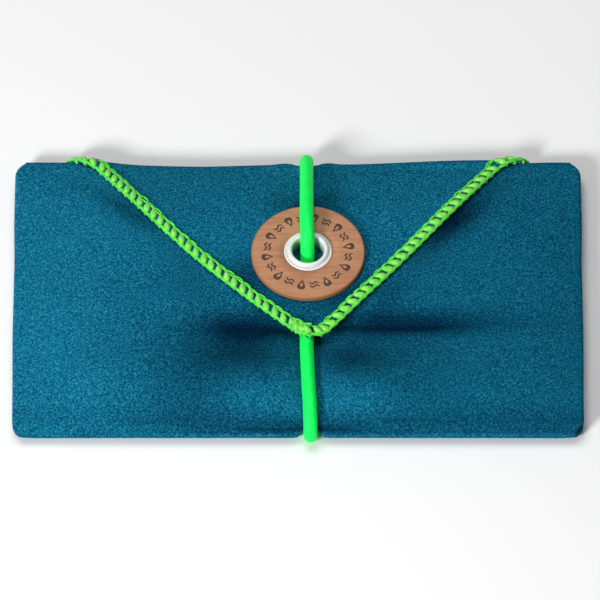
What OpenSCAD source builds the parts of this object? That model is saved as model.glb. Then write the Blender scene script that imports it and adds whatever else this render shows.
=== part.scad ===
// Quick dry towel: a square microfibre towel folded into a flat pack.
// One corner closes the pack as a pointed flap, and an elastic cord that is threaded
// through an eyelet in that corner runs round the pack and holds it shut.
// X runs along the pack, +Y points to the fold that the flap turns over, +Z is up.
// The origin is on the table, under the middle of the pack.

/* [Folded pack] */
// Width of the folded pack
pack_w = 170; // [166:1:174]
// Depth of the folded pack, from fold to fold
pack_d = 98; // [97:0.5:98.5]
// Height of the folded layers, without the flap
pack_h = 10.6; // [10.5:0.1:10.7]
// Height of the rounded folds at the pack's edges
fold_h = 6; // [5.8:0.1:6.2]

/* [Flap] */
// Sideways place of the flap's tip
tip_x = 3.9; // [2:0.1:5]
// Place of the flap's tip along the pack
tip_y = -19.6; // [-21:0.1:-19]
// Width of the flap at its fold, left of the tip
flap_left_w = 65; // [62:1:67]
// Width of the flap at its fold, right of the tip
flap_right_w = 57; // [54:1:60]
// How far each slanting edge bows outwards
edge_bow = 3; // [0:0.5:4]
// Thickness of the flap's cloth
cloth_t = 0.7; // [0.5:0.1:0.8]
// Width of the overlocked edge
overlock_w = 3.8; // [3:0.1:4.5]
// Thickness of the overlocked edge
overlock_t = 1.3; // [1:0.1:1.6]

/* [Disc and eyelet] */
// Sideways place of the disc
disc_x = 3; // [2:0.1:4]
// Place of the disc along the pack
disc_y = 10.6; // [10:0.1:11]
// Diameter of the wooden disc
disc_d = 34; // [30:1:35]
// Thickness of the wooden disc
disc_t = 2; // [1.8:0.1:2]
// Diameter of the hole through the eyelet
eyelet_hole_d = 9.6; // [9.4:0.1:9.8]
// Diameter of the eyelet's flange
flange_d = 14.4; // [13:0.1:15]

/* [Elastic cord] */
// Diameter of the elastic cord
cord_d = 4.2; // [4:0.1:4.2]
// Diameter of the knot
knot_d = 12; // [10:0.5:12]
// Place of the knot along the pack
knot_y = -10; // [-11:0.5:-9]

/* [Hidden] */
$fn = 64;

cloth_colour = [0.09, 0.37, 0.49];
thread_colour = [0.35, 0.90, 0.30];
cord_colour = [0.05, 0.95, 0.35];

// Centre and radius of the round folds at the top and bottom edges
fold_r = fold_h / 2;
fold_y = pack_d / 2 - fold_r;
fold_z = 3.5;
// Where the pack's flat top starts to slope down to its edges
slope_y = fold_y - 20;
slope_x = pack_w / 2 - 18;
// Where the flat underside starts to turn up
foot = 8;

// The layers of cloth from the table up, each a pair of heights
back_z = [0, 1.6];
wing_low_z = [1.7, 2.5];
inner_z = [2.6, 4.1];
tail_z = [4.2, 5.2];
left_wing_z = [5.3, 6.3];
right_wing_z = [6.4, 7.4];
front_z = [7.5, pack_h];

// The flap's levels
gap = 0.3;
flap_z = pack_h + gap;
disc_z = flap_z + cloth_t;
flange_z = disc_z + disc_t;
flange_t = 0.8;
rim_r = 0.7;
barrel_t = 0.6;
washer_t = 0.6;
clench_t = 0.4;

// The cord's channels through the soft pack
cord_r = cord_d / 2;
channel_x = 2.8;
channel_w = cord_d + 1.2;
back_channel_h = 4.5;
liner_t = 0.4;
front_channel_z = 6.1;
eyelet_channel_z = 5.2;
edge_notch_y = 45.2;
flap_notch_y = 42.5;
pocket_r = 9;
knot_r = knot_d / 2;
knot_h = 5.2;
knot_z = 2.9;

// The cord's route: down through the eyelet, under the flap, round the bottom fold
lower_route = [
    [2.8, 11.0, 12.6], [2.8, 9.8, 10.6], [2.7, 8.2, 8.4], [2.6, 5.4, 7.4], [2.6, 1.5, 7.6],
    [2.6, -4, 8.3], [2.6, -10, 8.5], [2.6, -19.6, 8.5], [2.7, -24, 9.5], [2.9, -30, 10.2],
    [3.2, -37, 10.3], [3.5, -42, 10.2], [3.6, -45.4, 9.5], [3.7, -47.9, 7.9],
    [3.7, -49.3, 5.9], [3.7, -49.6, 4.0], [3.7, -48.4, 2.6], [3.7, -46, 2.3]
];
// Up out of the eyelet, over the disc and round the top fold
upper_route = [
    [2.8, 11.3, 12.9], [2.8, 12.5, 15.2], [2.8, 14.3, 16.9], [2.7, 17, 17.4], [2.6, 22, 17.1],
    [2.6, 28, 15.9], [2.6, 33, 14.1], [2.6, 38, 12.3], [2.6, 43, 10.5], [2.6, 46.2, 8.8],
    [2.6, 48.2, 6.6], [2.6, 49.5, 4.9], [2.6, 49.4, 3.6], [2.6, 48.2, 2.6], [2.6, 46, 2.3]
];
// Down the back to the knot, and from the knot to the bottom fold
back_route = [[2.6, 45.7, 2.3], [2.6, 36, 2.3], [2.6, 26, 2.3], [2.6, 16, 2.3],
    [2.6, 6, 2.3], [2.6, knot_y + knot_r + 0.3, 2.3]];
return_route = [[2.6, knot_y - knot_r - 0.3, 2.3], [2.8, -25, 2.3], [3.2, -34, 2.3],
    [3.6, -42, 2.3], [3.7, -45.7, 2.3]];

// ---- Shared shapes ----

function unit(v) = v / norm(v);
// Direction of a route at its point i
function heading(p, i) = unit(p[min(i + 1, len(p) - 1)] - p[max(i - 1, 0)]);
// Directions across the route, level and upright
function across(t) = unit([1, 0, 0] - t.x * t);
function upright(t) = cross(t, across(t));

// A round cord swept along a route, closed at both ends
module sweep(p, r, sides = 10) {
    n = len(p);
    rings = [for (i = [0 : n - 1]) let (t = heading(p, i)) for (k = [0 : sides - 1])
        p[i] + r * (cos(360 * k / sides) * across(t) + sin(360 * k / sides) * upright(t))];
    walls = [for (i = [0 : n - 2]) for (k = [0 : sides - 1])
        let (a = i * sides + k, b = i * sides + (k + 1) % sides)
        each [[a, b, b + sides], [a, b + sides, a + sides]]];
    start = [for (k = [sides - 1 : -1 : 0]) k];
    end = [for (k = [0 : sides - 1]) (n - 1) * sides + k];
    polyhedron(points = rings, faces = concat(walls, [start], [end]));
}

// A flat outline in Y and Z, run along X from -half to half
module along_x(half) {
    rotate([90, 0, 90]) linear_extrude(2 * half, center = true) children();
}

// A flat outline in X and Z, run along Y from -half to half
module along_y(half) {
    rotate([90, 0, 0]) linear_extrude(2 * half, center = true) children();
}

// Section of the pack: flat below, crowned above, with a round fold at each end
module crowned_section(half, flat) {
    end = half - fold_r;
    low = fold_z - fold_r;
    polygon([[-end, low], [-half + foot, 0], [half - foot, 0], [end, low],
        [end, fold_z + fold_r], [flat, pack_h], [-flat, pack_h], [-end, fold_z + fold_r]]);
    for (side = [-1, 1]) translate([side * end, fold_z]) circle(fold_r);
}

// One layer of the folded pack, between two heights
module layer(z) {
    intersection() {
        along_x(pack_w) crowned_section(pack_d / 2, slope_y);
        along_y(pack_d) crowned_section(pack_w / 2, slope_x);
        translate([-pack_w, -pack_d, z[0]]) cube([2 * pack_w, 2 * pack_d, z[1] - z[0]]);
    }
}

// Room for the cord in the layers: under the flap, along the back and round both folds
module cord_room(side_room = 0) {
    w = channel_w + 2 * side_room;
    x = channel_x - w / 2;
    translate([x, -pack_d, -1]) cube([w, 2 * pack_d, back_channel_h + 1 + side_room]);
    translate([x, -pack_d, front_channel_z]) cube([w, pack_d, pack_h]);
    translate([x, -5, eyelet_channel_z]) cube([w, disc_y + 5, pack_h]);
    translate([disc_x, disc_y, eyelet_channel_z]) cylinder(r = pocket_r, h = pack_h);
    for (side = [0, 1]) mirror([0, side, 0])
        translate([x, edge_notch_y, -1]) cube([w, pack_d, pack_h + 2]);
    translate([channel_x, knot_y, -1]) cylinder(r = knot_r + 0.8, h = knot_z + knot_h / 2 + 1.4);
}

// A layer that the cord's channels pass right through
module slotted_layer(z) {
    difference() {
        layer(z);
        cord_room(liner_t + 0.1);
    }
}

// Corners of one slanting edge of the flap, from the tip to the fold
function arm(side, inset = 0) =
    let (root = [tip_x + (side < 0 ? -flap_left_w : flap_right_w), fold_y],
         tip = [tip_x, tip_y],
         out = unit([side * (root.y - tip.y), -abs(root.x - tip.x)]))
    [tip + [0, inset * 1.4], (root + tip) / 2 + (edge_bow - inset) * out, root - inset * out];

// Section of the flap's cloth: level, then sloping down to its fold
module flap_section(t) {
    polygon([[tip_y - 5, flap_z], [slope_y, flap_z], [fold_y, fold_z + fold_r + 0.2],
        [fold_y, fold_z + fold_r + 0.2 + t], [slope_y, flap_z + t], [tip_y - 5, flap_z + t]]);
}

// Part of the flap's level that a plan outline covers
module flap_piece(t) {
    intersection() {
        along_x(pack_w) flap_section(t);
        linear_extrude(3 * pack_h) children();
    }
}

// Overlocked edge of the flap on one side
module flap_overlock(side) {
    outer = arm(side);
    inner = arm(side, overlock_w);
    color(thread_colour) flap_piece(overlock_t)
        polygon(concat(outer, [for (i = [2 : -1 : 0]) inner[i]]));
}

// Where the slanting edge crosses the back, from the top fold to the pack's side
function back_edge(side) = [[side * 64, pack_d / 2], [side * (pack_w / 2), pack_d / 2 - 21]];

// Overlocked edge on the back, on one side
module back_overlock(side) {
    e = back_edge(side);
    in = unit([-side, -1]) * overlock_w;
    color(thread_colour) intersection() {
        layer([0, overlock_t]);
        linear_extrude(pack_h) polygon([e[0], e[1], e[1] + in, e[0] + in]);
    }
}

// Triangle that a wing covers on the lower level, on one side
module wing_corner(side) {
    polygon([[side * pack_w / 2, 28], [side * pack_w / 2, -pack_d / 2], [side * 8, -pack_d / 2]]);
}

// Band that a wing covers on its upper level, up to its point past the middle
module wing_band(side) {
    polygon([[side * pack_w / 2, pack_d / 2], [side * pack_w / 2, -pack_d / 2],
        [side * 6, -pack_d / 2], [-side * 40, 0], [side * 6, pack_d / 2]]);
}

// ---- Folded layers, from the table up ----

// Outer back of the pack, with its two slanting top corners and the channel for the cord
module back_panel() {
    color(cloth_colour) {
        difference() {
            layer(back_z);
            cord_room();
            for (side = [-1, 1]) let (e = back_edge(side))
                translate([0, 0, -1]) linear_extrude(pack_h) polygon([e[0] - [side * 5.4, 5.4] * 0.5,
                    [side * 70, pack_d], [side * pack_w, pack_d], e[1] - [side * 5.4, 5.4] * 0.5
                    + [side * 5.4, -5.4]]);
        }
        // Cloth pushed in round the cord, which lines the channel
        difference() {
            union() {
                for (side = [-1, 1])
                    translate([channel_x + side * (channel_w + liner_t) / 2 - liner_t / 2, -edge_notch_y + 8, 0])
                        cube([liner_t, 2 * edge_notch_y - 16, back_channel_h + 0.3]);
                translate([channel_x - channel_w / 2 - liner_t, -edge_notch_y + 8, back_channel_h])
                    cube([channel_w + 2 * liner_t, 2 * edge_notch_y - 16, 0.3]);
            }
            translate([channel_x, knot_y, -1]) cylinder(r = knot_r + 0.8, h = pack_h);
        }
    }
}

// Corner folded in from the left, in its two levels
module left_wing() {
    color(cloth_colour * 0.95) {
        intersection() {
            slotted_layer(wing_low_z);
            linear_extrude(pack_h) wing_corner(-1);
        }
        intersection() {
            slotted_layer(left_wing_z);
            linear_extrude(pack_h) wing_band(-1);
        }
    }
}

// Corner folded in from the right, in its two levels
module right_wing() {
    color(cloth_colour * 0.9) {
        intersection() {
            slotted_layer(wing_low_z);
            linear_extrude(pack_h) wing_corner(1);
        }
        intersection() {
            slotted_layer(right_wing_z);
            linear_extrude(pack_h) wing_band(1);
        }
    }
}

// Third panel of the towel, folded inside
module inner_panel() {
    color(cloth_colour * 0.85) slotted_layer(inner_z);
}

// Pointed tail of the towel, folded inside last
module tail_panel() {
    color(cloth_colour * 0.8) intersection() {
        slotted_layer(tail_z);
        linear_extrude(pack_h) polygon([[-64, -pack_d / 2], [64, -pack_d / 2], [0, 15]]);
    }
}

// Front of the pack, under the flap
module front_panel() {
    color(cloth_colour) difference() {
        layer(front_z);
        cord_room();
    }
}

module back_overlock_left() {
    back_overlock(-1);
}

module back_overlock_right() {
    back_overlock(1);
}

// ---- Flap ----

// Pointed corner of the towel that closes the pack
module flap() {
    left = arm(-1, overlock_w);
    right = arm(1, overlock_w);
    color(cloth_colour) difference() {
        flap_piece(cloth_t) polygon([left[2], left[1], left[0], right[1], right[2]]);
        translate([disc_x, disc_y, 0]) cylinder(d = eyelet_hole_d + 2 * barrel_t, h = 3 * pack_h);
        translate([channel_x - channel_w / 2, flap_notch_y, 0]) cube([channel_w, 10, 3 * pack_h]);
    }
}

module flap_overlock_left() {
    flap_overlock(-1);
}

module flap_overlock_right() {
    flap_overlock(1);
}

// ---- Disc and eyelet ----

// Wooden disc on the flap's face
module disc() {
    bevel = 0.3;
    bore_r = eyelet_hole_d / 2 + barrel_t;
    color([0.76, 0.56, 0.40]) translate([disc_x, disc_y, disc_z]) rotate_extrude()
        polygon([[bore_r, 0], [disc_d / 2 - bevel, 0], [disc_d / 2, bevel],
            [disc_d / 2, disc_t - bevel], [disc_d / 2 - bevel, disc_t], [bore_r, disc_t]]);
}

// Enamelled eyelet: barrel, flange with its rolled rim, and the lip clenched behind the washer
module eyelet() {
    hole_r = eyelet_hole_d / 2;
    lip_z = flap_z - washer_t - clench_t;
    color([0.95, 0.96, 0.95]) translate([disc_x, disc_y, 0]) rotate_extrude() {
        translate([hole_r, lip_z]) square([barrel_t, flange_z + flange_t - lip_z]);
        translate([hole_r, lip_z]) square([barrel_t + 0.8, clench_t]);
        translate([hole_r, flange_z]) square([flange_d / 2 - hole_r - 0.4, flange_t]);
        translate([flange_d / 2 - 0.4, flange_z + 0.4]) circle(0.4);
        translate([hole_r + rim_r, flange_z + rim_r]) circle(rim_r - 0.001);
    }
}

// Washer behind the flap that the eyelet is clenched over
module eyelet_washer() {
    bore_r = eyelet_hole_d / 2 + barrel_t;
    color([0.90, 0.91, 0.90]) translate([disc_x, disc_y, flap_z - washer_t]) difference() {
        cylinder(r = flange_d / 2, h = washer_t);
        translate([0, 0, -1]) cylinder(r = bore_r, h = washer_t + 2);
    }
}

// ---- Elastic cord ----

// From the eyelet down under the flap and round the bottom fold
module cord_lower() {
    color(cord_colour) sweep(lower_route, cord_r);
}

// From the eyelet over the disc and round the top fold
module cord_upper() {
    color(cord_colour) sweep(upper_route, cord_r);
}

// Down the back to the knot
module cord_back() {
    color(cord_colour) sweep(back_route, cord_r);
}

// From the knot to the bottom fold
module cord_return() {
    color(cord_colour) sweep(return_route, cord_r);
}

// Knot that closes the loop, pressed flat into the back
module cord_knot() {
    side_r = knot_h / 2;
    color(cord_colour * 0.9) translate([channel_x, knot_y, knot_z]) rotate_extrude() {
        translate([0, -side_r]) square([knot_r - side_r, knot_h]);
        translate([knot_r - side_r, 0]) intersection() {
            circle(side_r);
            translate([-0.01, -side_r]) square(2 * side_r);
        }
    }
}

back_panel();
left_wing();
right_wing();
inner_panel();
tail_panel();
front_panel();
back_overlock_left();
back_overlock_right();
flap();
flap_overlock_left();
flap_overlock_right();
disc();
eyelet();
eyelet_washer();
cord_lower();
cord_upper();
cord_back();
cord_return();
cord_knot();
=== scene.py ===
import math

import bmesh
import bpy
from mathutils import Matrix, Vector, noise


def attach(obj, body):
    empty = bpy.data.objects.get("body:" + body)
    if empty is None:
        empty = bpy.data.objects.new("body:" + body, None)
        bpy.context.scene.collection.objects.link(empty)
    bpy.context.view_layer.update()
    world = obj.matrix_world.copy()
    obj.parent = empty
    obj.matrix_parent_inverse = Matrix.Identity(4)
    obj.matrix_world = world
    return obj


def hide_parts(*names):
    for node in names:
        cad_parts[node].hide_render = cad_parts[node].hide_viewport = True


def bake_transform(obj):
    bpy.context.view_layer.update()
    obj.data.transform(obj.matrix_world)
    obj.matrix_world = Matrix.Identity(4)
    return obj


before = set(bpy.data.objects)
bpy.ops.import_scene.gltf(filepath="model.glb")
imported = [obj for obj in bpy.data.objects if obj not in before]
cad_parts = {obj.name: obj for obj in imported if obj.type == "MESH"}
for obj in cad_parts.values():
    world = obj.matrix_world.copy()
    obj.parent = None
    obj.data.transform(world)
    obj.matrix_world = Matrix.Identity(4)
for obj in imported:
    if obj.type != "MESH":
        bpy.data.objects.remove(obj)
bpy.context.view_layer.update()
MM = 0.001

# ---- Camera, floor and light ----
# The towel lies on a plain pale table in a soft studio light that comes from the front left,
# and is seen from the front and above with a long lens.


def place(obj):
    bpy.context.collection.objects.link(obj)
    return obj


def aim(obj, position, target):
    obj.location = position
    obj.rotation_euler = (Vector(target) - Vector(position)).to_track_quat("-Z", "Y").to_euler()


elevation, distance = math.radians(54.5), 2.3
view_target = Vector((0.6, 0, 3.5)) * MM
camera = place(bpy.data.objects.new("camera", bpy.data.cameras.new("camera")))
camera.data.sensor_width = 36
camera.data.lens = 36 * distance / 0.1796
camera.data.clip_end = 20
towards_camera = Vector((0, -math.cos(elevation), math.sin(elevation)))
aim(camera, view_target + distance * towards_camera, view_target)
scene = bpy.context.scene
scene.camera = camera
scene.view_settings.view_transform = "Standard"

for name, position, size, power in (
    ("key_light", (-0.55, -0.75, 0.55), 0.25, 11.0),
    ("top_light", (-0.10, 0.20, 1.00), 0.60, 5.0),
):
    lamp = bpy.data.lights.new(name, "AREA")
    lamp.size = size
    lamp.energy = power
    aim(place(bpy.data.objects.new(name, lamp)), position, (0, 0, 0))

world = bpy.data.worlds.new("studio")
world.use_nodes = True
world.node_tree.nodes["Background"].inputs["Color"].default_value = (1, 1, 1, 1)
world.node_tree.nodes["Background"].inputs["Strength"].default_value = 0.20
scene.world = world


def make_piece(name, bm, *materials):
    mesh = bpy.data.meshes.new(name)
    bm.to_mesh(mesh)
    bm.free()
    for material in materials:
        mesh.materials.append(material)
    for face in mesh.polygons:
        face.use_smooth = True
    return place(bpy.data.objects.new(name, mesh))


class Finish:
    """A material, its shader, and short ways to add the usual nodes."""

    def __init__(self, name, colour, roughness):
        self.material = bpy.data.materials.new(name)
        self.material.use_nodes = True
        self.tree = self.material.node_tree
        self.shader = self.tree.nodes["Principled BSDF"]
        self.set(Base_Color=(*colour, 1), Roughness=roughness)
        self.place_of = self.tree.nodes.new("ShaderNodeTexCoord").outputs["Object"]

    def set(self, **values):
        for key, value in values.items():
            self.shader.inputs[key.replace("_", " ")].default_value = value

    def node(self, kind, links=(), **settings):
        node = self.tree.nodes.new("ShaderNode" + kind)
        for key, value in settings.items():
            if key in node.inputs:
                node.inputs[key].default_value = value
            else:
                setattr(node, key, value)
        for key, source in dict(links).items():
            self.tree.links.new(source, node.inputs[key])
        return node

    def noise(self, scale, detail=3, roughness=0.5, at=None, distortion=0):
        return self.node("TexNoise", {"Vector": at or self.place_of}, Scale=scale, Detail=detail,
                         Roughness=roughness, Distortion=distortion).outputs["Fac"]

    def math(self, operation, a, b=0.0, c=None):
        node = self.tree.nodes.new("ShaderNodeMath")
        node.operation = operation
        for socket, value in zip(node.inputs, (a, b, c)):
            if value is None:
                continue
            if isinstance(value, (int, float)):
                socket.default_value = value
            else:
                self.tree.links.new(value, socket)
        return node.outputs[0]

    def ramp(self, source, *stops):
        node = self.node("ValToRGB", {"Fac": source})
        steps = node.color_ramp.elements
        while len(steps) < len(stops):
            steps.new(0.5)
        for step, (position, colour) in zip(steps, stops):
            step.position = position
            step.color = (*colour, 1) if hasattr(colour, "__len__") else (colour,) * 3 + (1,)
        return node.outputs["Color"]

    def mix(self, share, a, b, blend_type="MIX"):
        node = self.node("Mix", data_type="RGBA", blend_type=blend_type)
        for socket, value in ((node.inputs[0], share), (node.inputs[6], a), (node.inputs[7], b)):
            if isinstance(value, (int, float)):
                socket.default_value = value
            elif hasattr(value, "__len__"):
                socket.default_value = (*value, 1)
            else:
                self.tree.links.new(value, socket)
        return node.outputs[2]

    def colour(self, source):
        self.tree.links.new(source, self.shader.inputs["Base Color"])

    def roughness(self, source):
        self.tree.links.new(source, self.shader.inputs["Roughness"])

    def bump(self, height, distance, strength=1.0):
        node = self.node("Bump", {"Height": height}, Distance=distance, Strength=strength)
        if getattr(self, "last_bump", None):
            self.tree.links.new(self.last_bump, node.inputs["Normal"])
        self.last_bump = node.outputs["Normal"]
        self.tree.links.new(self.last_bump, self.shader.inputs["Normal"])


table_top = Finish("pale_table", (0.86, 0.86, 0.86), 0.9)
table_top.colour(table_top.ramp(table_top.noise(3, 2), (0.3, 0.85), (0.7, 0.88)))
bm = bmesh.new()
bmesh.ops.create_grid(bm, x_segments=2, y_segments=2, size=3)
make_piece("table_top", bm, table_top.material)

# ---- Towel cloth: inner panel, front, bottom fold and back ----
# One square of petrol-blue suede microfibre, knitted and brushed to a fine velvety nap.
# Its side corners are folded in, and the strip is rolled up. Only what shows is made: of the
# turned-in corners 13 mm on each side, and of the tail the part next to its fold.

pack_half_w, seam_y, fold_y = 85.0, 44.0, 46.0
outer_r, outer_z = 3.45, 3.55
inner_y = 45.6
tail_y, tail_r = -44.6, 0.95
crown_z, side_z = 10.3, 6.4
crest_x, crest_swing = 60.7, 3.2
fold_length = math.pi * outer_r


def clamp(value, low=0.0, high=1.0):
    return max(low, min(high, value))


def ease(value):
    value = clamp(value)
    return value * value * (3 - 2 * value)


def bell(value, width):
    return math.exp(-(value / width) ** 2)


def cord_x(y):
    """Sideways place of the elastic, which leans a little towards the bottom fold."""
    return 2.6 + 1.1 * ease((-16 - y) / 32)


def cut_x(y):
    """Sideways place of the towel's cut corner edge on the back."""
    return crest_x + crest_swing + fold_length + fold_y - y


def edge_gap(x, y):
    """Distance on the back from the towel's cut corner edge, inwards."""
    return (cut_x(y) - abs(x)) * 0.7071


def back_z(x, y):
    """The back lies on the table, and is lifted by the overlock at its two corners."""
    lift = 0.75 * bell(edge_gap(x, y) - 1.5, 5.0) if y > 0 else 0
    round_side = 0.9 * ease((abs(x) - 76) / 9) ** 2
    # The elastic and its knot are pressed into the back
    channel = 4.45 * (1 - ease((abs(x - cord_x(y)) - 1.2) / 2.6))
    pocket = 5.6 * (1 - ease((math.hypot(x - 2.8, y + 10) - 5.2) / 3.6))
    return 0.1 + max(lift + round_side, channel, pocket)


def waves(x, y):
    """Slow unevenness of the folded layers, none at the folds."""
    calm = ease((48 - abs(y)) / 14) * ease((84 - abs(x)) / 20)
    return calm * (0.55 * noise.noise(Vector((x / 34, y / 22, 3.1)))
                   + 0.25 * noise.noise(Vector((x / 15, y / 11, 7.7))))


def crown(x, y):
    """Height of the front without its creases."""
    low = 6.2 if y > 0 else 7.0
    across_y = clamp((abs(y) - 24) / 22) ** 1.8
    z = crown_z - (crown_z - low) * across_y
    side = min(side_z, z)
    across_x = clamp((abs(x) - 48) / 37) ** 2.3
    pressed_in = 1.1 * bell(x - 3, 8) * ease((y - 20) / 8) * ease((48 - y) / 8)
    return side + (z - side) * (1 - across_x) + waves(x, y) - pressed_in


def cord_bottom(y):
    """Underside of the elastic where it lies on the front."""
    if y > -19:
        return 6.0 - 0.8 * ease((y + 8) / 10)
    return 6.0 + 2.2 * ease((-19 - y) / 9) - 1.0 * ease((-40 - y) / 8)


def front_z(x, y):
    z = crown(x, y)
    # The elastic pulls the flap's tip down, which leaves a trough with a crease on each side
    dy = y + 14
    trough = (bell(dy, 6) if dy > 0 else bell(dy, 12)) * (3.2 * bell(x - 24, 32) + 2.8 * bell(x + 14, 20))
    z -= trough * ease((24 - y) / 14)
    for x_from, x_to, y_at, tilt, depth in ((6, 66, -10.4, -0.02, 2.0), (-34, 1, -11.4, -0.02, 1.6)):
        if x_from > 0:
            along = ease((x - x_from) / 6) * ease((x_to - x) / 34)
        else:
            along = ease((x - x_from) / 24) * ease((x_to - x) / 4)
        dy = y - (y_at + tilt * (x - 4))
        z -= depth * along * (bell(dy, 2.2) if dy < 0 else bell(dy, 1.3))
    # Fullness on both sides of the elastic near the bottom fold
    z += 1.3 * bell(x - 18, 12) * bell(y + 35, 8) + 1.3 * bell(x + 13, 12) * bell(y + 35, 8)
    # Hollows beside the flap's edges, where its cloth stands off the front
    z -= 2.2 * bell((x - 54) * 0.7 + (y - 30) * 0.7, 15) * bell((x - 54) * 0.7 - (y - 30) * 0.7, 5)
    z -= 1.5 * bell((x + 52) * 0.7 - (y - 31) * 0.7, 12) * bell((x + 52) * 0.7 + (y - 31) * 0.7, 4)
    # Room for the elastic, and for the eyelet's back
    if y < 22:
        sink = max(0.0, z - cord_bottom(y) + 0.25) * ease((16 - y) / 7)
        z -= sink * bell(x - cord_x(y), 3.3)
    z -= max(0.0, z - 9.5) * ease((11.5 - math.hypot(x - 3, y - 10.6)) / 3)
    return z


def half_width(y):
    return pack_half_w + 0.1 + 0.4 * ease((y - 10) / 20) - 0.5 * ease((-y - 10) / 35)


def inner_fold(x, k):
    """Fold between the inner panel and the front: fuller at the corners, which the flap leaves bare."""
    bare = ease((abs(x) - 58) / 9)
    r, turn = 1.9 + 0.3 * bare, math.pi * k
    out = r + 2.7 * bare - 1.5 * bell(x - 2.6, 3.0)
    return (inner_y + out * math.sin(turn),
            front_z(x, inner_y) - r - r * math.cos(turn))


def inner_panel(x, k):
    return tail_y + k * (inner_y - tail_y), 2.4 + (inner_fold(x, 0)[1] - 2.4) * ease((k - 0.55) / 0.45)


def bottom_fold(x, k):
    turn = math.pi * k
    # A short tuck pressed into the fold under the elastic
    tuck = ease((x + 21) / 8) * ease((25 - x) / 8) * (1 + 0.35 * noise.noise(Vector((x / 4, 0, 0))))
    r = (outer_r - 1.3 * tuck * bell(turn - 0.95, 0.18)
         - 2.35 * bell(x - cord_x(-fold_y), 2.6) * math.sin(turn))
    start = front_z(x, -fold_y) - (outer_z + outer_r)
    end = back_z(x, -fold_y) - (outer_z - outer_r)
    return -fold_y - r * math.sin(turn), outer_z + r * math.cos(turn) + start * (1 - k) + end * k


# The strip's parts along its length: rows of mesh, and the place at share k of each
strip_parts = (
    (3, lambda x, k: (-34 + k * (tail_y + 34), 2.4 + 2 * tail_r)),
    (7, lambda x, k: (tail_y - tail_r * math.sin(math.pi * k), 2.4 + tail_r * (1 + math.cos(math.pi * k)))),
    (24, inner_panel),
    (14, inner_fold),
    (112, lambda x, k: (inner_y - k * (inner_y + fold_y), front_z(x, inner_y - k * (inner_y + fold_y)))),
    (34, bottom_fold),
    (72, lambda x, k: (-fold_y + k * (fold_y + seam_y + 1.3),
                       back_z(x, -fold_y + k * (fold_y + seam_y + 1.3)) + 0.12 * ease((k - 0.97) / 0.02))),
)
strip_rows = sum(rows for rows, _ in strip_parts)


def strip_point(x, row):
    for rows, part in strip_parts:
        if row <= rows:
            return Vector((x, *part(x, row / rows)))
        row -= rows
    return Vector((x, *strip_parts[-1][1](x, 1)))


# Columns of mesh across the strip: turned-in cloth, round side, face, round side, turned-in cloth
turn_in, side_r = 13.0, 0.95
columns = (5, 9, 168, 9, 5)


def closer(share):
    """Shares from the middle out that lie closer together near the elastic."""
    return share * (0.62 + 0.38 * share * share)


def across_strip(column, half, r, inward):
    """Place across the strip, and depth below its face, at a column of the mesh."""
    middle = sum(columns) / 2
    side = 1 if column > middle else -1
    c = abs(column - middle)
    flat = columns[2] / 2
    if c <= flat:
        return side * (half - r) * closer(c / flat), 0
    if c <= flat + columns[1]:
        turn = math.pi * (c - flat) / columns[1]
        return side * (half - r + r * math.sin(turn)), r * (1 - math.cos(turn))
    k = (c - flat - columns[1]) / columns[0]
    return side * (half - r - k * inward), 2 * r + 0.1 * k


def lay_strip(column, row):
    y = strip_point(0, row).y
    on_back = row > strip_rows - strip_parts[-1][0]
    half, r, inward = half_width(y), side_r, turn_in
    if row < strip_parts[0][0] + strip_parts[1][0] + 2:
        r = 0.45
    if on_back and y > 10:
        cut = cut_x(y)
        raw = ease((half + 3 - cut) / 3)
        half = min(half, cut)
        r, inward = r + (0.3 - r) * raw, inward + (1.5 - inward) * raw
    x, depth = across_strip(column, half, r, inward)
    # The pack's corners are rounded where its sides meet the folds
    point = strip_point(x, row)
    past = clamp((abs(point.y) - (fold_y - 1.5)) / 5)
    point.x -= math.copysign(2.6 * past ** 2 * clamp((abs(x) - 60) / 25) ** 4, x)
    if depth:
        before, after = strip_point(x, max(row - 0.5, 0)), strip_point(x, min(row + 0.5, strip_rows))
        along = (after - before).normalized()
        point += Vector((0, -along.z, along.y)) * depth
    return point * MM


def grid_piece(bm, columns, rows, lay):
    """A flat grid whose points are then laid in place, column by column and row by row."""
    bmesh.ops.create_grid(bm, x_segments=columns, y_segments=rows, size=0.5, calc_uvs=True)
    for v in bm.verts:
        v.co = lay(round((v.co.x + 0.5) * columns), round((v.co.y + 0.5) * rows))
    bmesh.ops.reverse_faces(bm, faces=bm.faces)


suede = Finish("towel_suede", (0.009, 0.115, 0.20), 0.95)
fibre = suede.noise(1650, 5, 0.78)
patches = suede.noise(30, 3, 0.55, distortion=0.4)
nap = suede.ramp(fibre, (0.38, (0.0003, 0.032, 0.070)), (0.50, (0.0018, 0.098, 0.182)),
                 (0.62, (0.017, 0.245, 0.370)))
nap = suede.mix(suede.ramp(patches, (0.35, 0.0), (0.75, 0.16)), nap, (0.004, 0.160, 0.260))
# The stored nap attribute multiplies the colour: painted shade in creases, hollows and beside the flap's
# edges, painted light on crests, partly standing for the nap's lie
nap_lie_and_painted_shade = suede.node("Attribute", attribute_name="nap").outputs["Fac"]
painted_light_and_shade = suede.ramp(nap_lie_and_painted_shade, (0.0, (0.02, 0.13, 0.20)), (0.5, (1.0, 1.0, 1.0)), (1.0, (1.8, 1.45, 1.38)))
suede.colour(suede.mix(1.0, nap, painted_light_and_shade, "MULTIPLY"))
suede.set(Sheen_Weight=0.03, Sheen_Roughness=0.5, Sheen_Tint=(0.10, 0.70, 0.95, 1),
          Specular_IOR_Level=0.03)
suede.bump(fibre, 0.0003, 0.6)
suede.bump(suede.noise(260, 2), 0.0005, 0.3)


def patch(x, y, at_x, at_y, long, wide, lean=0.0):
    """A soft oval patch: 1 in its middle and 0 well outside. It leans by an angle in radians."""
    along = (x - at_x) * math.cos(lean) + (y - at_y) * math.sin(lean)
    across = (y - at_y) * math.cos(lean) - (x - at_x) * math.sin(lean)
    return bell(along, long) * bell(across, wide)


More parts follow.
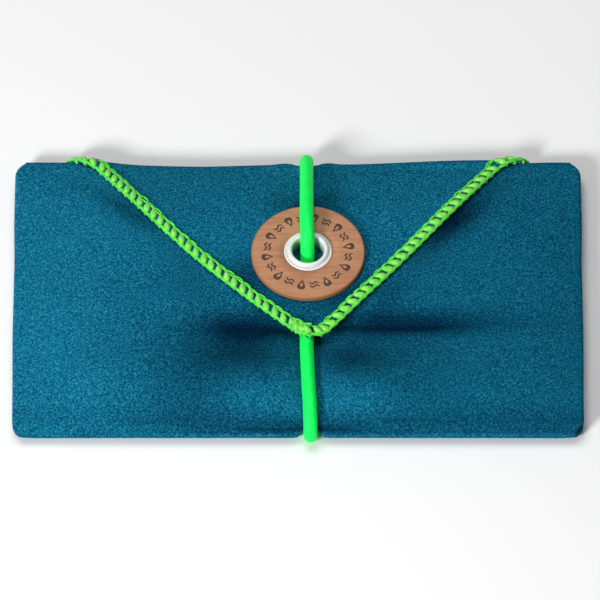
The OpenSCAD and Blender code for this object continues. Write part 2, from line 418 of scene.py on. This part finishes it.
def nap_and_painted_shade_of_front(x, y):
    """Painted shade and light on the front, partly the nap's lie: darker in the hollows, creases and beside
    the flap's edges, lighter on the crests and the left side.
    """
    # Painted light on the left, which faces the key light, and painted shade on the right
    nap_lie_and_painted_shade = 0.14 * ease((-x - 20) / 50) - 0.08 * ease((x - 10) / 40)
    # Painted shade along the crease on each side of the flap's tip, and in the trough below it
    nap_lie_and_painted_shade -= 0.46 * patch(x, y, 32, -12, 30, 4.5) + 0.44 * patch(x, y, -15, -12.5, 14, 5)
    nap_lie_and_painted_shade -= 0.26 * patch(x, y, 16, -23, 18, 8) + 0.28 * patch(x, y, -15, -22, 12, 8)
    nap_lie_and_painted_shade -= 0.24 * patch(x, y, -31, -30, 17, 18) + 0.10 * patch(x, y, 34, -36, 12, 8)
    nap_lie_and_painted_shade -= 0.12 * patch(x, y, -33, 6, 10, 14) + 0.16 * patch(x, y, 15, -29, 9, 7)
    nap_lie_and_painted_shade -= 0.20 * patch(x, y, 27, -3, 9, 5, 0.7)
    # Painted shadow along the outer sides of the flap's edges
    nap_lie_and_painted_shade -= 0.36 * patch(x, y, -50, 29, 13, 3.5, -0.76) + 0.42 * patch(x, y, 46, 24, 17, 4.5, 0.84)
    # Painted light on the crests beside the elastic and along the left side
    nap_lie_and_painted_shade += 0.12 * patch(x, y, 17, -41, 14, 6) + 0.12 * patch(x, y, -10, -41, 12, 6)
    nap_lie_and_painted_shade += 0.10 * patch(x, y, -72, -20, 14, 26)
    # Painted shade along the bottom fold, darker towards the bottom
    nap_lie_and_painted_shade -= 0.22 * patch(x, y, 2, -48, 22, 2) + 0.14 * ease((-38 - y) / 9)
    return clamp(0.5 + nap_lie_and_painted_shade)


def nap_and_painted_shade_of_flap(x, y):
    # Painted shade on the flap, partly the nap's lie: darker towards its tip, beside the elastic near the
    # top fold and beside the disc
    nap_lie_and_painted_shade = 0.06 - 0.24 * ease((16 - y) / 18) - 0.20 * patch(x, y, -14, 4, 10, 7, 0.7)
    nap_lie_and_painted_shade -= 0.30 * patch(x, y, 3, 31, 15, 6) + 0.20 * patch(x, y, 13, -3, 7, 5, 0.7)
    return clamp(0.5 + nap_lie_and_painted_shade)


def store_nap_and_painted_shade(obj, rule, above):
    """Stores the painted shade and light, partly the nap's lie, on each point that faces up."""
    values = obj.data.attributes.new("nap", "FLOAT", "POINT").data
    for v, value in zip(obj.data.vertices, values):
        x, y, z = v.co / MM
        value.value = rule(x, y) if z > above else 0.5


bm = bmesh.new()
grid_piece(bm, sum(columns), strip_rows, lay_strip)
towel_body = make_piece("towel_body", bm, suede.material)
store_nap_and_painted_shade(towel_body, nap_and_painted_shade_of_front, 4.5)
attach(towel_body, "pack")
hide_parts("back_panel", "left_wing", "right_wing", "inner_panel", "tail_panel", "front_panel")

# ---- Towel cloth: the flap ----
# The same cloth's last corner. It comes from the back round the top fold and over the front,
# and is held down by the elastic that goes through it.

tip, tip_share = Vector((5.0, -21.2)), 0.955
edge_bow, cloth_t = {-1: 3.6, 1: 1.2}, 0.7
disc_x, disc_y = 3.0, 10.6
hole_r = 5.8


def flap_z(x, y):
    """Height of the flap's face over the front."""
    held_up = 0.5 * ease((30 - math.hypot((x - 3) * 0.8, y - 8)) / 14)
    over_cord = 0.5 * bell(x - 3, 5) * ease((8 - y) / 6)
    near_edge = 0.25 * ease((y - 20) / 20)
    return max(crown(x, y), 6.2) + 0.85 + max(held_up, over_cord) + near_edge * bell(x - 30, 30)


def flap_point(x, s):
    """Place of the flap's face, s past the top of the fold; behind it, s is below 0."""
    if s >= 0:
        return Vector((x, fold_y - s, flap_z(x, fold_y - s)))
    if s < -fold_length:
        y = fold_y + s + fold_length
        return Vector((x, y, back_z(x, y)))
    turn = math.pi / 2 + s / outer_r
    full = (1.6 * ease((x - 12) / 44) + 1.6 * ease((-x - 46) / 20) - 0.75 * bell(x + 30, 16)
            + 0.5 * bell(abs(x - 2.6) - 6.5, 3) - 2.35 * bell(x - 2.6, 2.6))
    r = outer_r + full * math.cos(turn)
    top = flap_z(x, fold_y) - (outer_z + outer_r)
    low = back_z(x, fold_y) - (outer_z - outer_r)
    share = -s / fold_length
    return Vector((x, fold_y + r * math.cos(turn),
                   outer_z + r * math.sin(turn) + top * (1 - share) + low * share))


def flap_edge(side, s):
    """Sideways place of the flap's edge and its distance past the fold, at share or distance s."""
    if s < 0:
        return side * (crest_x - s + crest_swing * ease(-s / 4.5)), s
    root = Vector((side * crest_x, fold_y))
    out = Vector((side * (root.y - tip.y), -abs(root.x - tip.x))).normalized()
    at = root.lerp(tip, s) + 4 * s * (1 - s) * edge_bow[side] * out
    return at.x, fold_y - at.y


flap_columns, back_rows, fold_rows, front_rows = 150, 2, 24, 72


def lay_flap(column, row):
    start = -fold_length - (fold_y - seam_y)
    if row <= back_rows:
        s = start + (fold_y - seam_y) * row / back_rows
    elif row <= back_rows + fold_rows:
        s = -fold_length * (1 - (row - back_rows) / fold_rows)
    else:
        s = ((row - back_rows - fold_rows) / front_rows) ** 0.92 * tip_share
    left, right = (flap_edge(side, s) for side in (-1, 1))
    k = 2 * column / flap_columns - 1
    k = 0.5 + math.copysign(closer(abs(k)), k) / 2
    x, past = left[0] + (right[0] - left[0]) * k, left[1] + (right[1] - left[1]) * k
    return flap_point(x, past) * MM


bm = bmesh.new()
grid_piece(bm, flap_columns, back_rows + fold_rows + front_rows, lay_flap)
centre = Vector((disc_x, disc_y)) * MM
inside = [f for f in bm.faces
          if f.calc_center_median().z > 8 * MM
          and (f.calc_center_median().xy - centre).length < hole_r * MM]
bmesh.ops.delete(bm, geom=inside, context="FACES")
towel_flap = make_piece("towel_flap", bm, suede.material)
store_nap_and_painted_shade(towel_flap, nap_and_painted_shade_of_flap, 6.0)
thickness = towel_flap.modifiers.new("thickness", "SOLIDIFY")
thickness.thickness = cloth_t * MM
thickness.offset = -1
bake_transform(towel_flap)
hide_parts("flap")

# ---- Overlocked edge ----
# Polyester thread in two greens sewn over the raw edge: a looped chain on the inside, and
# thicker strands that slant across to the edge and wrap round it.

pitch, chain_r, edge_r = 3.2, 0.29, 0.48
track_step = 0.25


def path_frames(points):
    """Direction and two cross directions at each point of a path, carried along without twist."""
    frames, across = [], None
    for i, point in enumerate(points):
        along = (points[min(i + 1, len(points) - 1)] - points[max(i - 1, 0)]).normalized()
        if across is None:
            across = along.orthogonal().normalized()
        across = (across - across.dot(along) * along).normalized()
        frames.append((point, across, along.cross(across)))
    return frames


def tube(bm, frames, radius, sides, capped=True):
    """A round thread or cord along a path; radius is a number, or one for each point in turn."""
    part = bmesh.new()
    rows = len(frames) - 1
    sizes = radius if hasattr(radius, "__len__") else (radius,)

    def lay(column, row):
        point, across, up = frames[row]
        turn = -2 * math.pi * column / sides
        return (point + sizes[row % len(sizes)] * (math.cos(turn) * across + math.sin(turn) * up)) * MM

    grid_piece(part, sides, rows, lay)
    bmesh.ops.remove_doubles(part, verts=part.verts, dist=1e-7)
    if capped:
        bmesh.ops.holes_fill(part, edges=[e for e in part.edges if e.is_boundary], sides=sides)
    mesh = bpy.data.meshes.new("part")
    part.to_mesh(mesh)
    part.free()
    bm.from_mesh(mesh)
    bpy.data.meshes.remove(mesh)


def edge_track():
    """Even steps along the towel's edge, from the pack's left side round the tip to its right."""
    corner = cut_x(0) - half_width(30)
    line = [[], []]
    for points, side in zip(line, (-1, 1)):
        start = -fold_length - (fold_y - corner)
        points += [Vector(flap_edge(side, start * (1 - k / 90))) for k in range(90)]
        points += [Vector(flap_edge(side, tip_share * k / 300)) for k in range(301)]
    track = even_steps(line[0] + line[1][::-1], where=lambda p: flap_point(*p))
    rounding, near_tip = 7, 30
    for i in range(rounding, len(track) - rounding):
        if abs(i - len(track) / 2) < near_tip:
            track[i] = sum(track[i - rounding:i + rounding + 1], Vector((0, 0))) / (2 * rounding + 1)
    return track


def even_steps(line, step=track_step, where=lambda p: p):
    """Points at equal steps along a line, with the steps measured where its points really lie."""
    track, left = [line[0]], step
    for a, b in zip(line, line[1:]):
        length = (where(b) - where(a)).length
        while left <= length:
            track.append(a.lerp(b, left / length))
            left += step
        left -= length
    return track


def on_edge(track, a, b, h):
    """Place of a thread: a along the edge, b inwards from it, h over the cloth."""
    i = clamp(a / track_step, 0, len(track) - 1.001)
    base = track[int(i)].lerp(track[int(i) + 1], i % 1)
    ahead, behind = track[min(int(i) + 4, len(track) - 1)], track[max(int(i) - 4, 0)]
    along = (ahead - behind).normalized()
    # On the unrolled cloth y is the distance past the fold, so it grows towards the tip
    at = base + Vector((along.y, -along.x)) * b
    p = flap_point(at.x, at.y)
    du = flap_point(at.x + 0.2, at.y) - flap_point(at.x - 0.2, at.y)
    dv = flap_point(at.x, at.y + 0.2) - flap_point(at.x, at.y - 0.2)
    return p + dv.cross(du).normalized() * h


# One stitch as shares of the pitch along the edge, distance in from it, and height
chain_stitch = ((0.00, 2.80, 0.40), (0.14, 3.02, 0.46), (0.32, 3.20, 0.42), (0.52, 3.26, 0.36),
                (0.72, 3.16, 0.38), (0.88, 2.98, 0.44))
ply_stitch = ((0.00, 2.62, 0.52), (0.30, 2.66, 0.50), (0.60, 2.76, 0.44), (0.85, 2.70, 0.50))
strand_stitch = ((0.00, 2.75, 0.30), (0.13, 2.25, 0.36), (0.32, 1.60, 0.26), (0.52, 0.95, 0.20),
                 (0.68, 0.45, 0.05), (0.76, 0.05, -0.20), (0.78, -0.10, -0.55), (0.84, 0.60, -1.05),
                 (0.90, 1.60, -1.05), (0.96, 2.40, -0.75))
strand_radii = (0.32, 0.62, 1.02, 1.08, 0.88, 0.55, 0.38, 0.34, 0.34, 0.30)
edge_stitch = ((0.00, 0.12, 0.26), (0.25, 0.00, 0.30), (0.50, -0.10, 0.20), (0.75, 0.00, 0.14))


def overlock(bm, track, start, end, lift=0.0):
    """Chain, strands and edge thread over the raw edge between two distances along it."""
    stitches = round((end - start) / pitch)
    step = (end - start) / stitches
    for stitch, radius, material in ((chain_stitch, chain_r, 0), (ply_stitch, chain_r, 0),
                                     (strand_stitch, strand_radii, 1), (edge_stitch, edge_r, 0)):
        points = []
        for n in range(stitches):
            loose = 0.3 * noise.noise(Vector((n * 1.7, start, len(stitch) * 3.3)))
            for a, b, h in stitch:
                a_at, b_at = start + (n + a + loose * 0.3) * step, b * (1 + loose * 0.5)
                points.append(on_edge(track, a_at, b_at, h + lift if h > 0 else h))
        before = len(bm.faces)
        tube(bm, path_frames(points), radius, 7)
        bm.faces.ensure_lookup_table()
        for face in bm.faces[before:]:
            face.material_index = material


thread_chain = Finish("edge_thread_green", (0.045, 0.78, 0.045), 0.62)
thread_strand = Finish("edge_thread_lime", (0.20, 0.72, 0.09), 0.62)
for thread, light, dark in ((thread_chain, (0.085, 0.82, 0.042), (0.018, 0.52, 0.012)),
                            (thread_strand, (0.29, 0.76, 0.110), (0.055, 0.60, 0.025))):
    strands = thread.noise(900, 3, 0.6)
    thread.colour(thread.ramp(strands, (0.30, dark), (0.62, light)))
    thread.bump(thread.noise(2600, 2), 0.0002, 0.5)
    thread.set(Sheen_Weight=0.2, Sheen_Roughness=0.5)

track = edge_track()
whole = (len(track) - 1) * track_step
behind = whole / 2 - (len([p for p in track if p.y > -fold_length]) - 1) * track_step / 2
edge_parts = (("overlock_back_left", 0.6, behind, False),
              ("overlock_left", behind, whole / 2, True),
              ("overlock_right", whole / 2, whole - behind, True),
              ("overlock_back_right", whole - behind, whole - 0.6, False))
for word, start, end, moves in edge_parts:
    bm = bmesh.new()
    overlock(bm, track, start, end)
    # The tip is sewn over twice
    if end == whole / 2:
        overlock(bm, track, end - 5, end + 1.2, lift=0.5)
    if start == whole / 2:
        overlock(bm, track, start - 0.6, start + 3.2, lift=0.7)
    edge = make_piece(word, bm, thread_chain.material, thread_strand.material)
    if moves:
        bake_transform(edge)
        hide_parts("flap_" + word)
    else:
        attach(edge, "pack")
        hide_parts(word.replace("overlock_back", "back_overlock"))

# ---- Wooden disc ----
# A beech disc, bevelled and cut by a laser, which leaves its rim darker. Plain drops and pairs
# of waves are burnt into its face in a ring.

disc_z, disc_t, disc_r, barrel_r = 11.6, 2.0, 17.0, 5.4


def spun(profile):
    """A turned shape round the eyelet's axis from its closed profile of radius and height."""
    bm = bmesh.new()
    verts = [bm.verts.new((r * MM, 0, z * MM)) for r, z in profile]
    edges = [bm.edges.new((a, b)) for a, b in zip(verts, verts[1:] + verts[:1])]
    bmesh.ops.spin(bm, geom=verts + edges, cent=(0, 0, 0), axis=(0, 0, 1), angle=2 * math.pi,
                   steps=96, use_merge=True)
    bmesh.ops.remove_doubles(bm, verts=bm.verts, dist=1e-7)
    bmesh.ops.recalc_face_normals(bm, faces=bm.faces)
    bmesh.ops.translate(bm, verts=bm.verts, vec=(disc_x * MM, disc_y * MM, 0))
    return bm


def arc(cx, cz, r, start, end, steps):
    return [(cx + r * math.cos(math.radians(start + (end - start) * k / steps)),
             cz + r * math.sin(math.radians(start + (end - start) * k / steps)))
            for k in range(steps + 1)]


beech = Finish("disc_beech", (0.45, 0.20, 0.095), 0.60)
grained = beech.node("Mapping", {"Vector": beech.place_of}, Scale=(1, 7, 1)).outputs["Vector"]
flecks = beech.noise(330, 3, 0.6, at=beech.node(
    "Mapping", {"Vector": beech.place_of}, Scale=(1, 4.5, 2)).outputs["Vector"])
wood = beech.ramp(beech.noise(90, 4, 0.6, at=grained), (0.30, (0.36, 0.155, 0.072)),
                  (0.70, (0.50, 0.240, 0.120)))
wood = beech.mix(beech.ramp(flecks, (0.56, 0.0), (0.70, 0.55)), wood, (0.30, 0.125, 0.055))
centred = beech.node("Mapping", {"Vector": beech.place_of},
                     Location=(-disc_x * MM, -disc_y * MM, 0)).outputs["Vector"]
axes = beech.node("SeparateXYZ", {"Vector": centred}).outputs
radius = beech.math("SQRT", beech.math("ADD", beech.math("MULTIPLY", axes["X"], axes["X"]),
                                       beech.math("MULTIPLY", axes["Y"], axes["Y"])))
marks_count, marks_r = 20, 12.2
turn = beech.math("MULTIPLY", beech.math("ARCTAN2", axes["Y"], axes["X"]), marks_count / (2 * math.pi))
cell = beech.math("SUBTRACT", beech.math("FRACT", turn), 0.5)
p = beech.math("MULTIPLY", cell, 2 * math.pi * marks_r / marks_count)
q = beech.math("SUBTRACT", beech.math("MULTIPLY", radius, 1 / MM), marks_r)
odd = beech.math("LESS_THAN", beech.math("MODULO", beech.math(
    "ADD", beech.math("FLOOR", turn), 40), 2), 0.5)
width = beech.math("MULTIPLY_ADD", q, 0.34, 0.74)
drop = beech.math("SUBTRACT", beech.math("SQRT", beech.math("ADD", beech.math(
    "POWER", beech.math("DIVIDE", p, width), 2), beech.math("POWER", beech.math("DIVIDE", q, 1.5), 2))), 1)
drop_line = beech.math("SUBTRACT", beech.math("ABSOLUTE", beech.math("ADD", drop, 0.12)), 0.26)
ripple = beech.math("MULTIPLY", beech.math("SINE", beech.math("MULTIPLY", p, 3.0)), 0.30)
lines = beech.math("SUBTRACT", beech.math("ABSOLUTE", beech.math("SUBTRACT", beech.math(
    "ABSOLUTE", beech.math("ADD", q, ripple)), 0.60)), 0.20)
wave = beech.math("MAXIMUM", lines, beech.math("SUBTRACT", beech.math("ABSOLUTE", p), 1.30))
shape = beech.math("ADD", beech.math("MULTIPLY", drop_line, odd),
                   beech.math("MULTIPLY", wave, beech.math("SUBTRACT", 1, odd)))
on_top = beech.math("GREATER_THAN", axes["Z"], (disc_z + disc_t - 0.05) * MM)
burn = beech.math("MULTIPLY", on_top, beech.math("SUBTRACT", 1, beech.math(
    "SMOOTH_MIN", beech.math("MAXIMUM", beech.math("MULTIPLY", shape, 6), 0), 1, 0.1)))
burn = beech.math("MAXIMUM", burn, 0)
rim = beech.ramp(beech.math("MULTIPLY", radius, 1 / (disc_r * MM)), (0.955, 0.0), (0.99, 0.75))
wood = beech.mix(rim, wood, (0.33, 0.125, 0.045))
beech.colour(beech.mix(burn, wood, (0.055, 0.022, 0.012)))
beech.bump(beech.math("MULTIPLY", burn, -1), 0.00012, 0.7)
beech.bump(flecks, 0.00012, 0.5)

bevel = 0.45
disc_profile = (
    arc(disc_r - bevel, disc_z + bevel, bevel, -90, 0, 4)
    + arc(disc_r - bevel, disc_z + disc_t - bevel, bevel, 0, 90, 5)
    + [(10, disc_z + disc_t), (barrel_r, disc_z + disc_t), (barrel_r, disc_z), (10, disc_z)])
disc = make_piece("disc_wood", spun(disc_profile), beech.material)
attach(disc, "flap")
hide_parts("disc")

# ---- Eyelet and washer ----
# A pressed brass eyelet in white enamel: a thin flange with a raised rolled rim round the hole,
# pushed through disc and cloth, and clenched behind a flat washer.

flange_z, flange_r, bore_r = 13.6, 7.2, 4.8
lip_z = 9.9

enamel = Finish("eyelet_enamel", (0.86, 0.87, 0.87), 0.28)
enamel.colour(enamel.ramp(enamel.noise(400, 2), (0.3, (0.68, 0.70, 0.71)), (0.7, (0.74, 0.75, 0.75))))
enamel.roughness(enamel.ramp(enamel.noise(900, 2), (0.3, 0.22), (0.7, 0.38)))
enamel.bump(enamel.noise(600, 2), 0.00005, 0.3)
enamel.set(Coat_Weight=0.4, Coat_Roughness=0.15)

rim_profile = (
    [(bore_r + 1.4, lip_z + 0.02)] + arc(bore_r + 1.4, lip_z + 0.2, 0.2, -90, 90, 4) + [(5.4, lip_z + 0.4)]
    + [(5.4, flange_z - 0.02)] + [(flange_r - 0.25, flange_z - 0.02)]
    + arc(flange_r - 0.22, flange_z + 0.20, 0.22, -80, 80, 5)
    + [(6.62, flange_z + 0.46), (6.50, flange_z + 0.20), (6.32, flange_z + 0.20)]
    + arc(bore_r + 0.72, flange_z + 0.70, 0.72, 0, 180, 12)
    + [(bore_r, flange_z - 0.5), (bore_r, lip_z + 0.2)])
eyelet = make_piece("eyelet_rim", spun(rim_profile), enamel.material)
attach(eyelet, "flap")
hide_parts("eyelet")

washer = make_piece("eyelet_back", spun(
    arc(flange_r - 0.2, 10.5, 0.2, -90, 0, 3) + arc(flange_r - 0.2, 10.7, 0.2, 0, 90, 3)
    + [(barrel_r, 10.9), (barrel_r, 10.3)]), enamel.material)
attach(washer, "flap")
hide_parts("eyelet_washer")

# ---- Elastic loop ----
# A round elastic in a smooth neon green knitted sheath. It is threaded through the eyelet, runs
# over the top fold, down the back to its knot, and round the bottom fold back under the flap.

cord_r = 2.1
loop_route = (
    (2.6, -6.5, 2.3), (2.6, 6, 2.3), (2.6, 16, 2.3), (2.6, 26, 2.3), (2.6, 36, 2.3), (2.6, 43, 2.3),
    (2.6, 46, 2.35), (2.6, 48.2, 2.9), (2.6, 49.5, 4.3), (2.6, 49.6, 5.9), (2.6, 48.2, 7.9),
    (2.6, 46.0, 9.4), (2.6, 43, 10.7), (2.6, 38, 12.4), (2.6, 33, 14.1), (2.6, 28, 15.7),
    (2.6, 22, 17.0), (2.7, 17, 17.4), (2.8, 14.3, 16.9), (2.8, 12.5, 15.2), (2.8, 11.3, 12.9),
    (2.8, 9.8, 10.6), (2.7, 8.2, 8.6), (2.6, 5.4, 7.6), (2.6, 1.5, 7.6), (2.6, -4, 8.2),
    (2.6, -10, 8.4), (2.6, -19.6, 8.5), (2.7, -24, 9.4), (2.9, -30, 10.2), (3.2, -37, 10.3),
    (3.5, -42, 10.0), (3.6, -45.4, 9.3), (3.7, -48.2, 7.6), (3.7, -49.6, 5.6), (3.7, -49.4, 3.8),
    (3.7, -48.2, 2.7), (3.7, -46, 2.35), (3.6, -42, 2.3), (3.2, -34, 2.3), (2.8, -25, 2.3),
    (2.6, -13.5, 2.3))


def smooth_route(points, step=0.9):
    points = [Vector(p) for p in points]
    line = []
    for i in range(len(points) - 1):
        p0, p1, p2, p3 = (points[max(min(i + k, len(points) - 1), 0)] for k in (-1, 0, 1, 2))
        for k in range(12):
            t = k / 12
            line.append(0.5 * ((2 * p1) + (p2 - p0) * t + (2 * p0 - 5 * p1 + 4 * p2 - p3) * t ** 2
                               + (3 * p1 - p0 - 3 * p2 + p3) * t ** 3))
    return even_steps(line + [points[-1]], step)


sheath = Finish("elastic_sheath", (0.006, 0.88, 0.105), 0.5)
ribs = sheath.noise(700, 2, 0.5)
sheath.colour(sheath.ramp(ribs, (0.3, (0.004, 0.84, 0.090)), (0.7, (0.010, 0.93, 0.125))))
sheath.bump(sheath.noise(1500, 2), 0.00008, 0.4)
# The emission is painted light: a faint glow that brightens the neon green
sheath.set(Sheen_Weight=0.03, Sheen_Roughness=0.4, Sheen_Tint=(0.3, 1, 0.5, 1), Specular_IOR_Level=0.15,
           Emission_Color=(0.001, 0.80, 0.075, 1), Emission_Strength=0.12)

loop = path_frames(smooth_route(loop_route))


def loop_index(y, z):
    """Nearest ring of the loop to a place in its section."""
    return min(range(len(loop)), key=lambda i: (loop[i][0].y - y) ** 2 + (loop[i][0].z - z) ** 2)


cuts = [0, loop_index(45.5, 2.3), loop_index(44.5, 10.1), loop_index(14.6, 17.1), loop_index(5.4, 7.6),
        loop_index(-44.5, 9.6), loop_index(-45.5, 2.3), len(loop) - 1]
cord_pieces = []
for name, first, last in zip(
        ("cord_back", "cord_top_bend", "cord_upper", "cord_throat", "cord_front", "cord_low_bend",
         "cord_return"), cuts, cuts[1:]):
    bm = bmesh.new()
    tube(bm, loop[first:last + 1], cord_r, 20, capped=False)
    piece = make_piece("elastic" + name[4:], bm, sheath.material)
    cord_pieces.append(piece)
back, top_bend, upper, throat, front, low_bend, back_return = cord_pieces
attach(back, "loop_far")
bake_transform(top_bend)
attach(upper, "loop_front")
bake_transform(throat)
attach(front, "flap")
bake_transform(low_bend)
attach(back_return, "loop_end")
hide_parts("cord_back")
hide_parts("cord_upper")
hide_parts("cord_lower")
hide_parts("cord_return")

# The loop is closed by an overhand knot, pressed flat between the pack and the table
knot_at = Vector((2.8, -10, 2.9))
knot_line = []
for k in range(97):
    t = 2 * math.pi * k / 96
    knot_line.append(Vector((1.42 * (math.sin(t) + 2 * math.sin(2 * t)),
                             1.42 * (math.cos(t) - 2 * math.cos(2 * t)), -1.9 * math.sin(3 * t))))
bm = bmesh.new()
tube(bm, path_frames(knot_line), 1.75, 14, capped=False)
bmesh.ops.scale(bm, verts=bm.verts, vec=(1, 1, 0.71))
bmesh.ops.translate(bm, verts=bm.verts, vec=knot_at * MM)
bmesh.ops.remove_doubles(bm, verts=bm.verts, dist=0.00002)
knot = make_piece("elastic_knot", bm, sheath.material)
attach(knot, "loop_far")
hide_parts("cord_knot")
